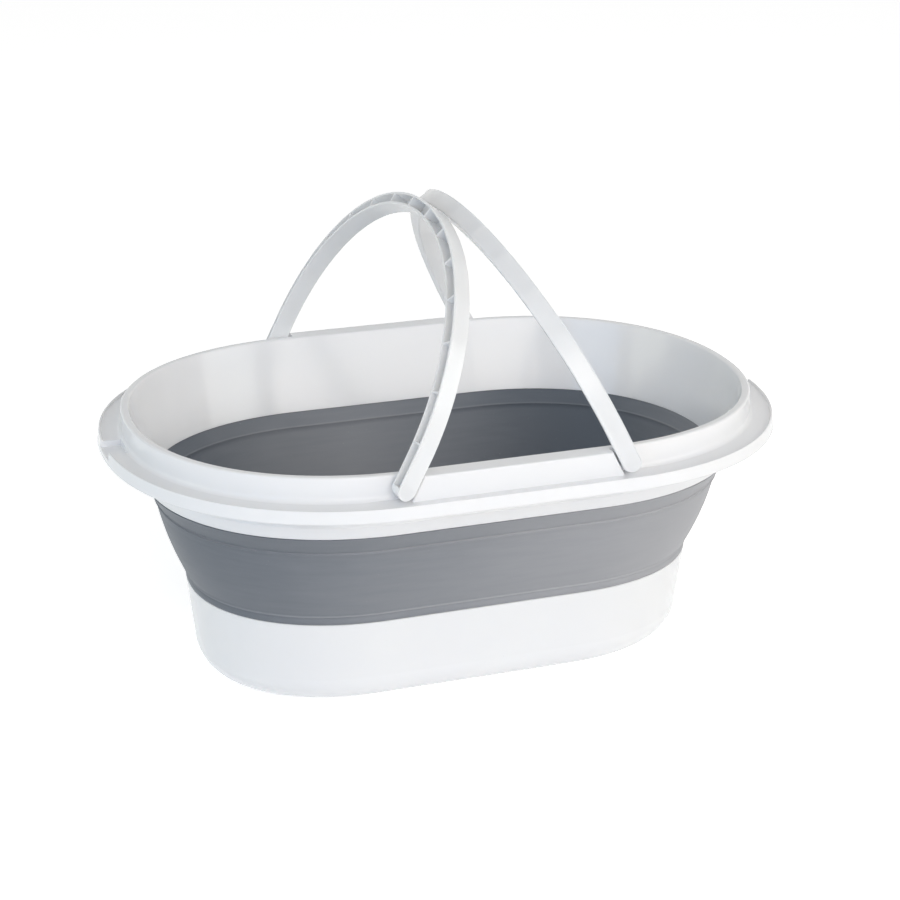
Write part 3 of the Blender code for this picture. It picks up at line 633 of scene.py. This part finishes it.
def strap_hull(name):
    half = STRAP_WIDTH / 2
    section = strap_section()
    path = strap_path([-half * sin(turn) for turn in foot_turns()])
    foot = [slanted(section, cos(turn)) for turn in foot_turns()]
    bm = bmesh.new()
    add_sweep(bm, stations_of(path, both_feet(foot, slanted(section), len(path))))
    return finished(name, bm)


def pocket_section(open_side, web_side, share=1):
    deep = STRAP_DEPTH - STRAP_FLANGE
    outline = ((STRAP_FLANGE, open_side), (STRAP_FLANGE, web_side), (deep, web_side), (deep, open_side))
    return slanted(outline, share)


def strap_pockets():
    web_side = STRAP_WIDTH / 2 - STRAP_WEB
    section = pocket_section(-STRAP_WIDTH / 2 - OVERRUN, web_side)
    path = strap_path([-web_side * sin(turn) for turn in foot_turns()] + [OVERRUN])
    foot = [pocket_section(-web_side, web_side, cos(turn)) for turn in foot_turns()]
    stations = stations_of(path, both_feet(foot + [section], section, len(path)))
    length = stations[-1][0]
    pockets = round(length / STRAP_RIB_PITCH)
    ribs = [length * rib / pockets for rib in range(1, pockets)]
    starts = [0] + [place + STRAP_RIB / 2 for place in ribs]
    ends = [place - STRAP_RIB / 2 for place in ribs] + [length]
    bm = bmesh.new()
    for start, end in zip(starts, ends):
        inside = [station for station in stations if start < station[0] < end]
        add_sweep(bm, [station_at(stations, start), *inside, station_at(stations, end)])
    return finished("pockets", bm)


def make_handle(name, body, node, turn, material):
    handle = strap_hull(name)
    start, end = STRAP_INNER_SPAN + STRAP_FLANGE, STRAP_INNER_SPAN - STUD_LENGTH
    studs = [drum("stud", 0, 0, STUD_RADIUS, side * start, side * end) for side in (-1, 1)]
    merge(handle, studs, "UNION")
    merge(handle, [strap_pockets()], "DIFFERENCE")
    place = Matrix.Translation((-cos(turn) * PIVOT_X, 0, PIVOT_Z))
    handle.data.transform(place @ Matrix.Rotation(turn, 4, "Z") @ Matrix.Rotation(handle_lean(), 4, "Y"))
    handle.data.materials.clear()
    handle.data.materials.append(material)
    smoothed(handle)
    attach(handle, body)
    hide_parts(node)


# Materials
def ranged(tree, value, low, high, to_low, to_high):
    node = tree.nodes.new("ShaderNodeMapRange")
    for name, number in (("From Min", low), ("From Max", high), ("To Min", to_low), ("To Max", to_high)):
        node.inputs[name].default_value = number
    tree.links.new(value, node.inputs["Value"])
    return node.outputs["Result"]


class Nodes:
    """A material's nodes: add and join them in few words."""

    def __init__(self, name):
        self.material = bpy.data.materials.new(name)
        self.material.use_nodes = True
        self.tree = self.material.node_tree
        self.shader = self.tree.nodes["Principled BSDF"]

    def add(self, kind, **inputs):
        node = self.tree.nodes.new(kind)
        for key, value in inputs.items():
            name = key.replace("_", " ")
            if hasattr(node, key):
                setattr(node, key, value)
            else:
                node.inputs[name].default_value = value
        return node

    def join(self, out_socket, in_socket):
        self.tree.links.new(out_socket, in_socket)

    def noise(self, scale, detail, coordinates, stretch=None):
        source = coordinates
        if stretch:
            mapping = self.add("ShaderNodeMapping")
            mapping.inputs["Scale"].default_value = stretch
            self.join(coordinates, mapping.inputs["Vector"])
            source = mapping.outputs["Vector"]
        node = self.add("ShaderNodeTexNoise", Scale=scale, Detail=detail)
        self.join(source, node.inputs["Vector"])
        return node.outputs["Fac"]

    def span(self, *settings):
        return ranged(self.tree, *settings)

    def math(self, operation, a, b):
        node = self.add("ShaderNodeMath", operation=operation)
        for socket, value in zip(node.inputs, (a, b)):
            if isinstance(value, (int, float)):
                socket.default_value = value
            else:
                self.join(value, socket)
        return node.outputs["Value"]

    def mix(self, factor, a, b, blend_type="MIX"):
        node = self.add("ShaderNodeMix", data_type="RGBA", blend_type=blend_type)
        for socket, value in ((node.inputs[0], factor), (node.inputs[6], a), (node.inputs[7], b)):
            if isinstance(value, (int, float, tuple)):
                socket.default_value = value
            else:
                self.join(value, socket)
        return node.outputs[2]

    def bump(self, height, distance, strength, below=None):
        node = self.add("ShaderNodeBump")
        node.inputs["Distance"].default_value = distance
        node.inputs["Strength"].default_value = strength
        self.join(height, node.inputs["Height"])
        if below:
            self.join(below, node.inputs["Normal"])
        return node.outputs["Normal"]


def plastic(name, colour, roughness, glow=0.4, depth=0.004):
    """Glossy white moulding: faint flow clouds, orange peel, and a few dull rub marks."""
    n = Nodes(name)
    coordinates = n.add("ShaderNodeTexCoord").outputs["Object"]
    clouds = n.noise(11, 4, coordinates)
    fine = n.noise(420, 4, coordinates)
    rubs = n.noise(70, 7, coordinates, (1.0, 1.0, 2.2))
    cool = (*[channel * 0.975 for channel in colour[:2]], colour[2] * 0.985, 1)
    base = n.mix(n.span(clouds, 0.3, 0.7, 0.0, 1.0), cool, (*colour, 1))
    specks = n.span(n.noise(900, 2, coordinates), 0.74, 0.8, 0.0, 0.35)
    n.join(n.mix(specks, base, (0.62, 0.61, 0.59, 1)), n.shader.inputs["Base Color"])
    rough = n.span(rubs, 0.56, 0.72, roughness, roughness + 0.03)
    rough = n.math("ADD", rough, n.span(fine, 0.3, 0.7, -0.015, 0.02))
    n.join(rough, n.shader.inputs["Roughness"])
    peel = n.bump(n.noise(130, 2, coordinates), 0.0003, 0.04)
    n.join(n.bump(fine, 0.00005, 0.08, peel), n.shader.inputs["Normal"])
    n.shader.inputs["IOR"].default_value = 1.49
    n.shader.inputs["Subsurface Weight"].default_value = glow
    n.shader.inputs["Subsurface Scale"].default_value = depth
    n.shader.inputs["Subsurface Radius"].default_value = (1.0, 0.95, 0.9)
    return n.material


def rubber(name, dark, pale):
    """Soft grey rubber: satin and finely grained, with rub marks, painted light and shade in patches, and painted
    highlights on the beads.
    """
    n = Nodes(name)
    coordinates = n.add("ShaderNodeTexCoord").outputs["Object"]
    grain = n.noise(1500, 3, coordinates)
    rubs = n.noise(26, 6, coordinates, (1.0, 1.0, 9.0))
    clouds = n.span(n.noise(9, 4, coordinates), 0.3, 0.7, -0.04, 0.04)
    streaks = n.span(rubs, 0.35, 0.65, -0.03, 0.03)
    tone_and_painted_light = n.math("ADD", clouds, streaks)
    # Painted light and shade: paler and darker patches placed on the sleeve
    for centre, reach, strength in PAINTED_LIGHT_PATCHES:
        away = n.add("ShaderNodeVectorMath", operation="DISTANCE")
        n.join(coordinates, away.inputs[0])
        away.inputs[1].default_value = centre
        tone_and_painted_light = n.math("ADD", tone_and_painted_light, n.span(away.outputs["Value"], 0.0, reach, strength, 0.0))
    # Painted highlight along the hinge beads
    bead_highlight_mask = n.add("ShaderNodeAttribute", attribute_name="bead").outputs["Fac"]
    tone_and_painted_light = n.math("ADD", tone_and_painted_light, n.math("MULTIPLY", bead_highlight_mask, BEAD_HIGHLIGHT_STRENGTH))
    base = n.mix(tone_and_painted_light, (*dark, 1), (*pale, 1))
    dust = n.span(n.noise(800, 2, coordinates), 0.72, 0.8, 0.0, 0.3)
    n.join(n.mix(dust, base, (0.5, 0.5, 0.5, 1)), n.shader.inputs["Base Color"])
    rough = n.span(rubs, 0.4, 0.7, 0.42, 0.52)
    rough = n.math("ADD", rough, n.span(grain, 0.3, 0.7, -0.03, 0.04))
    n.join(rough, n.shader.inputs["Roughness"])
    soft = n.bump(n.noise(70, 2, coordinates), 0.0006, 0.04)
    n.join(n.bump(grain, 0.00006, 0.2, soft), n.shader.inputs["Normal"])
    n.shader.inputs["IOR"].default_value = 1.4
    n.shader.inputs["Specular IOR Level"].default_value = 0.35
    return n.material


# Studio
def seen_directly(tree):
    """1 for rays from the camera, from a reflection or through a see-through surface, 0 for all others."""
    paths = tree.nodes.new("ShaderNodeLightPath")
    seen = paths.outputs["Is Camera Ray"]
    for kind in ("Is Glossy Ray", "Is Transmission Ray"):
        either = tree.nodes.new("ShaderNodeMath")
        either.operation = "MAXIMUM"
        tree.links.new(seen, either.inputs[0])
        tree.links.new(paths.outputs[kind], either.inputs[1])
        seen = either.outputs["Value"]
    return seen


def make_floor():
    """A pale floor that takes the soft shadow, lifted to white where it is seen."""
    bm = bmesh.new()
    bmesh.ops.create_grid(bm, x_segments=1, y_segments=1, size=FLOOR_HALF_SIZE)
    floor = finished("studio_floor", bm)
    floor.location.z = -FLOOR_GAP
    n = Nodes("studio_floor")
    n.shader.inputs["Base Color"].default_value = (0.94, 0.94, 0.94, 1)
    n.shader.inputs["Roughness"].default_value = 0.9
    n.shader.inputs["Specular IOR Level"].default_value = 0.0
    n.shader.inputs["Emission Color"].default_value = (1, 1, 1, 1)
    n.join(n.span(seen_directly(n.tree), 0, 1, 0, FLOOR_LIFT), n.shader.inputs["Emission Strength"])
    floor.data.materials.append(n.material)


def make_world():
    """An even white room, darker overhead, drawn as pure white where it is seen."""
    world = bpy.data.worlds.new("studio_room")
    bpy.context.scene.world = world
    world.use_nodes = True
    tree = world.node_tree
    direction = tree.nodes.new("ShaderNodeTexCoord").outputs["Generated"]
    parts = tree.nodes.new("ShaderNodeSeparateXYZ")
    tree.links.new(direction, parts.inputs["Vector"])
    sky = ranged(tree, parts.outputs["Z"], *ROOM_CHANGE, HORIZON, ZENITH)
    strength = tree.nodes.new("ShaderNodeMix")
    tree.links.new(seen_directly(tree), strength.inputs[0])
    tree.links.new(sky, strength.inputs[2])
    strength.inputs[3].default_value = 1
    background = tree.nodes["Background"]
    background.inputs["Color"].default_value = (1, 1, 1, 1)
    tree.links.new(strength.outputs[0], background.inputs["Strength"])


def area_light(name, place, size, power, colour):
    data = bpy.data.lights.new(name, "AREA")
    data.shape = "RECTANGLE"
    data.size, data.size_y = size
    data.energy = power
    data.color = colour
    lamp = bpy.data.objects.new(name, data)
    bpy.context.scene.collection.objects.link(lamp)
    lamp.location = place
    lamp.rotation_mode = "QUATERNION"
    lamp.rotation_quaternion = (Vector(LAMP_TARGET) - Vector(place)).to_track_quat("-Z", "Y")


def make_camera():
    azimuth, elevation = radians(CAMERA_AZIMUTH), radians(CAMERA_ELEVATION)
    back = Vector((sin(azimuth) * cos(elevation), -cos(azimuth) * cos(elevation), sin(elevation)))
    data = bpy.data.cameras.new("camera")
    data.lens = LENS_MM
    data.sensor_width = SENSOR_MM
    data.clip_start = 0.05
    data.clip_end = 50
    camera = bpy.data.objects.new("camera", data)
    bpy.context.scene.collection.objects.link(camera)
    camera.location = Vector(CAMERA_TARGET) + back * CAMERA_DISTANCE
    camera.rotation_mode = "QUATERNION"
    camera.rotation_quaternion = (-back).to_track_quat("-Z", "Y")
    bpy.context.scene.camera = camera


rim_plastic = plastic("rim_plastic", (0.86, 0.865, 0.875), 0.15)
tub_plastic = plastic("tub_plastic", (0.86, 0.865, 0.875), 0.20)
handle_plastic = plastic("handle_plastic", (0.93, 0.934, 0.942), 0.22, 0.7, 0.006)
make_rim(rim_plastic)
make_tub(tub_plastic)
make_sleeve(rubber("sleeve_rubber", (0.12, 0.138, 0.163), (0.4, 0.403, 0.423)))
make_handle("left_handle_moulding", "left_grip", "left_handle", 0, handle_plastic)
make_handle("right_handle_moulding", "right_grip", "right_handle", pi, handle_plastic)
make_floor()
make_world()
for lamp in LAMPS:
    area_light(*lamp)
make_camera()
bpy.context.scene.view_settings.view_transform = "Standard"
